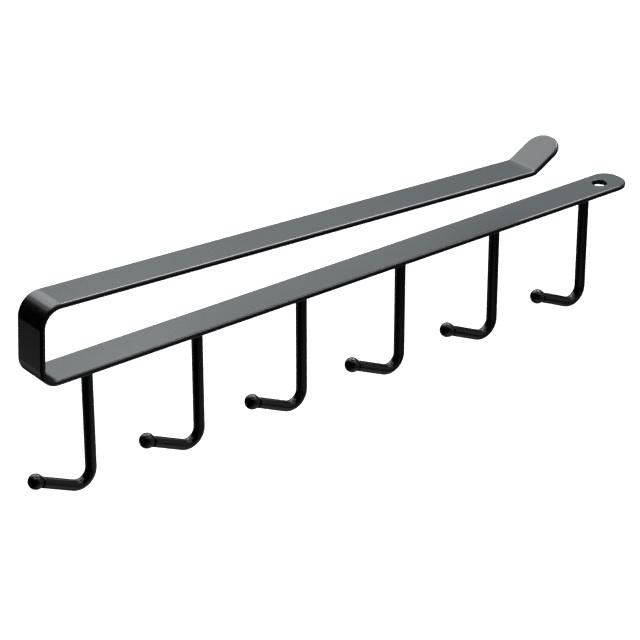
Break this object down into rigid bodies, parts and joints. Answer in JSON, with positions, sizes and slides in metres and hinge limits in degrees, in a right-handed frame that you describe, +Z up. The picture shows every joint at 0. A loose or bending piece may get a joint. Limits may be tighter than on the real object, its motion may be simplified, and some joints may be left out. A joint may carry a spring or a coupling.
{
  "type": "coat hook rail",
  "caption": "Under-shelf coat hook rail: a bent flat steel clip slides onto a shelf board and carries a row of round-wire hooks with ball ends.",
  "frame": {"origin": "on the lower arm's top face, which lies against the board's underside, at the middle of the hook row", "axes": "+X along the strip towards its open end and the screw hole, +Y across the strip, +Z up"},
  "size_m": [0.3335, 0.018, 0.094],
  "materials": {
    "black_coat": "satin"
  },
  "bodies": {
    "root": {"clip_strip": "black_coat", "hook_rod_1": "black_coat", "hook_rod_2": "black_coat", "hook_rod_3": "black_coat", "hook_rod_4": "black_coat", "hook_rod_5": "black_coat", "hook_rod_6": "black_coat", "ball_tip_1": "black_coat", "ball_tip_2": "black_coat", "ball_tip_3": "black_coat", "ball_tip_4": "black_coat", "ball_tip_5": "black_coat", "ball_tip_6": "black_coat"}
  },
  "joints": []
}
